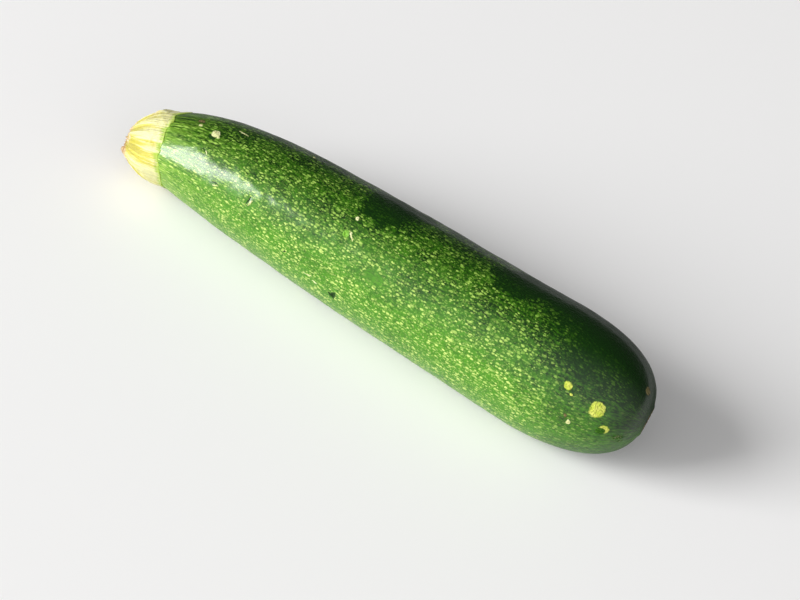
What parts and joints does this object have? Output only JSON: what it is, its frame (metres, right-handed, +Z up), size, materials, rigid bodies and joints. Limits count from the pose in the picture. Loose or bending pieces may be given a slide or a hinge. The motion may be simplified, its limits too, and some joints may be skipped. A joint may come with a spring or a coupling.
{
  "type": "courgette",
  "caption": "Whole green courgette with a cut stalk stub, tapering to a rounded blossom end, lying on its side.",
  "frame": {"origin": "middle of the bounding box in X and Y, on the surface that the courgette rests on", "axes": "+X along the courgette from the stalk to the blossom end, +Z up, +Y across"},
  "size_m": [0.203, 0.0464, 0.0455],
  "materials": {
    "fruit": "waxy dark green skin with fine pale flecks",
    "stem_stub": "matte pale yellow-green fibrous stalk with a dry brown cut"
  },
  "bodies": {
    "root": {"fruit": "fruit", "stem_stub": "stem_stub"}
  },
  "joints": []
}
